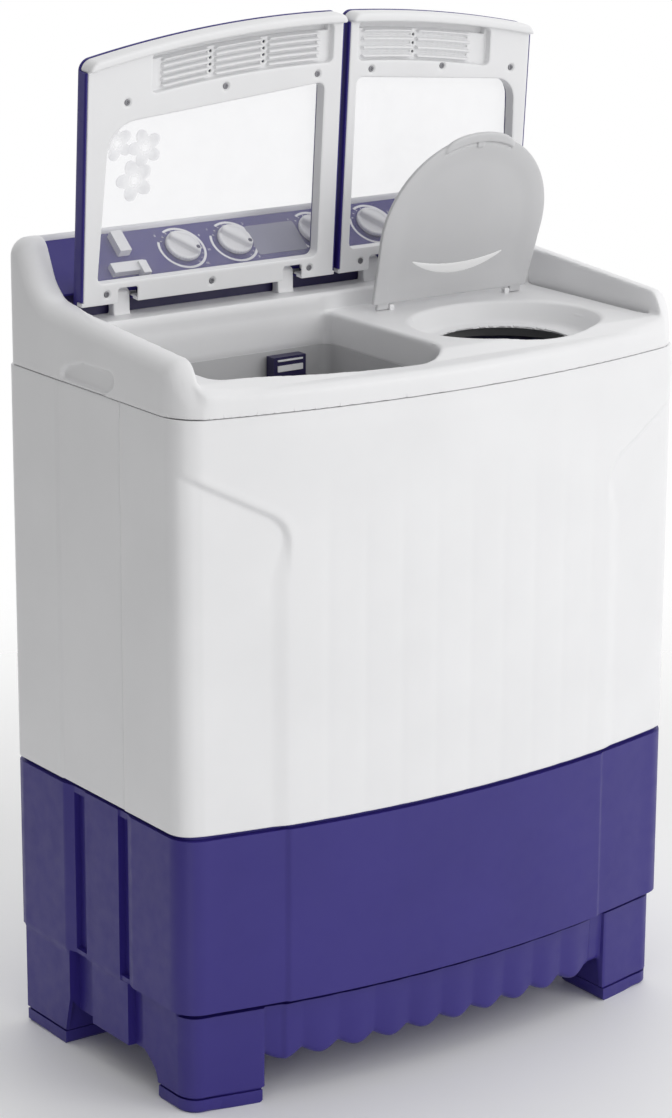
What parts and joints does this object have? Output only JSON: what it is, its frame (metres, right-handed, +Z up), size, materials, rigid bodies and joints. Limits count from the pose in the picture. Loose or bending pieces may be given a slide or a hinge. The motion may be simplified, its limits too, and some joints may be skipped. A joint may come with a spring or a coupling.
{
  "type": "twin tub washer",
  "caption": "Top loading washer with a wash tub and a spin tub side by side, hinged lids, dial panel and moulded base.",
  "frame": {"origin": "on the floor, under the middle of the cabinet's outline", "axes": "+X to the right seen from the front, +Y to the rear, +Z up"},
  "size_m": [0.7, 0.407, 1.1857],
  "materials": {
    "purple_plastic": "smooth moulded, satin gloss",
    "white_plastic": "smooth moulded, satin gloss",
    "grey_plastic": "moulded, fine matt",
    "pale_grey_plastic": "moulded, satin",
    "navy_plastic": "moulded, matt",
    "black_plastic": "moulded, matt",
    "clear_plastic": "clear, polished",
    "black_rubber": "moulded rubber",
    "shaft_steel": "ground",
    "screw_steel": "zinc plated",
    "galvanised_steel": "galvanised sheet",
    "motor_steel": "lacquered laminations",
    "grey_sheet": "painted sheet",
    "cast_aluminium": "as cast"
  },
  "bodies": {
    "cabinet": {"base": "purple_plastic", "foot_pads": "purple_plastic", "cabinet_shell": "white_plastic", "front_panel": "white_plastic", "rear_cover": "grey_sheet", "rear_cover_screws": "screw_steel", "top_cover": "white_plastic", "control_panel": "purple_plastic", "inlet_spout": "white_plastic", "water_inlet": "white_plastic", "wash_tub": "grey_plastic", "filter_housing": "navy_plastic", "pulsator_seal": "black_rubber", "gearbox": "cast_aluminium", "drive_belt": "black_rubber", "motor_bracket": "galvanised_steel", "wash_motor": "motor_steel", "spin_tub": "grey_plastic", "spin_drain_duct": "grey_plastic", "drain_valve_body": "grey_plastic", "drain_pipe": "grey_plastic", "drain_outlet": "grey_plastic", "bellows_seal": "black_rubber", "spin_motor": "motor_steel", "motor_mounts": "black_rubber", "capacitor": "black_plastic", "lid_switch": "black_plastic", "cord_gland": "black_plastic", "wash_timer": "black_plastic", "wash_selector": "black_plastic", "drain_selector": "black_plastic", "spin_timer": "black_plastic"},
    "wash_lid": {"wash_lid_shell": "purple_plastic", "wash_lid_glass": "clear_plastic", "wash_lid_frame": "white_plastic", "wash_lid_screws": "screw_steel", "wash_lid_pins": "shaft_steel"},
    "spin_lid": {"spin_lid_shell": "purple_plastic", "spin_lid_glass": "clear_plastic", "spin_lid_frame": "white_plastic", "spin_lid_screws": "screw_steel", "spin_lid_pins": "shaft_steel"},
    "safety_lid": {"safety_lid": "pale_grey_plastic"},
    "wash_timer_knob": {"wash_timer_knob": "white_plastic"},
    "wash_selector_knob": {"wash_selector_knob": "white_plastic"},
    "drain_selector_knob": {"drain_selector_knob": "white_plastic"},
    "spin_timer_knob": {"spin_timer_knob": "white_plastic"},
    "inlet_selector": {"inlet_selector": "white_plastic"},
    "lint_filter": {"lint_filter": "navy_plastic"},
    "pulsator": {"pulsator": "grey_plastic", "pulsator_screw": "screw_steel", "pulsator_shaft": "shaft_steel"},
    "gearbox_pulley": {"gearbox_pulley": "cast_aluminium"},
    "motor_pulley": {"motor_pulley": "cast_aluminium", "wash_motor_shaft": "shaft_steel"},
    "spin_basket": {"spin_basket": "navy_plastic", "spin_shaft": "shaft_steel", "brake_drum": "cast_aluminium"},
    "brake_lever": {"brake_lever": "galvanised_steel"},
    "drain_plug": {"drain_plug": "black_rubber"}
  },
  "joints": [
    {"name": "wash_lid_hinge", "type": "hinge", "parent": "cabinet", "child": "wash_lid", "pos_m": [0, 0.12278, 0.88276], "axis": [1, 0, 0], "range_deg": [-6, 89.4]},
    {"name": "spin_lid_hinge", "type": "hinge", "parent": "cabinet", "child": "spin_lid", "pos_m": [0, 0.12278, 0.88276], "axis": [1, 0, 0], "range_deg": [-6, 89.4]},
    {"name": "safety_lid_hinge", "type": "hinge", "parent": "cabinet", "child": "safety_lid", "pos_m": [0.168, 0.053, 0.841], "axis": [1, 0, 0], "range_deg": [-5, 74.1]},
    {"name": "wash_timer_turn", "type": "hinge", "parent": "cabinet", "child": "wash_timer_knob", "pos_m": [-0.134, 0.16538, 0.91623], "axis": [0, -0.6402, 0.7682], "range_deg": [0, 300]},
    {"name": "wash_selector_turn", "type": "hinge", "parent": "cabinet", "child": "wash_selector_knob", "pos_m": [-0.062, 0.16538, 0.91623], "axis": [0, -0.6402, 0.7682], "range_deg": [0, 120]},
    {"name": "drain_selector_turn", "type": "hinge", "parent": "cabinet", "child": "drain_selector_knob", "pos_m": [0.053, 0.16538, 0.91623], "axis": [0, -0.6402, 0.7682], "range_deg": [0, 90]},
    {"name": "spin_timer_turn", "type": "hinge", "parent": "cabinet", "child": "spin_timer_knob", "pos_m": [0.138, 0.16538, 0.91623], "axis": [0, -0.6402, 0.7682], "range_deg": [0, 300]},
    {"name": "inlet_selector_slide", "type": "slide", "parent": "cabinet", "child": "inlet_selector", "axis": [1, 0, 0], "range_m": [0, 0.018]},
    {"name": "lint_filter_slide", "type": "slide", "parent": "cabinet", "child": "lint_filter", "axis": [0, 0, 1], "range_m": [0, 0.045]},
    {"name": "pulsator_spin", "type": "hinge", "parent": "cabinet", "child": "pulsator", "pos_m": [-0.1375, -0.038, 0.4], "axis": [0, 0, 1], "continuous": true},
    {"name": "gearbox_pulley_spin", "type": "hinge", "parent": "cabinet", "child": "gearbox_pulley", "pos_m": [-0.1375, -0.038, 0.29], "axis": [0, 0, 1], "continuous": true},
    {"name": "motor_pulley_spin", "type": "hinge", "parent": "cabinet", "child": "motor_pulley", "pos_m": [-0.2615, -0.038, 0.29], "axis": [0, 0, 1], "continuous": true},
    {"name": "spin_basket_spin", "type": "hinge", "parent": "cabinet", "child": "spin_basket", "pos_m": [0.16, -0.066, 0.42], "axis": [0, 0, 1], "continuous": true},
    {"name": "brake_lever_pivot", "type": "hinge", "parent": "cabinet", "child": "brake_lever", "pos_m": [0.113, -0.009, 0.226], "axis": [0, 0, 1], "range_deg": [-0.6, 6.3]},
    {"name": "drain_plug_slide", "type": "slide", "parent": "cabinet", "child": "drain_plug", "axis": [0, 0, -1], "range_m": [0, 0.0101]}
  ],
  "couplings": [
    {"joint": "safety_lid_hinge", "follows": "spin_lid_hinge", "ratio": 0.82774},
    {"joint": "brake_lever_pivot", "follows": "spin_lid_hinge", "ratio": 0.07},
    {"joint": "drain_plug_slide", "follows": "drain_selector_turn", "m_per_rad": 0.006366},
    {"joint": "pulsator_spin", "follows": "gearbox_pulley_spin", "ratio": 0.2},
    {"joint": "motor_pulley_spin", "follows": "gearbox_pulley_spin", "ratio": 3.0465}
  ]
}
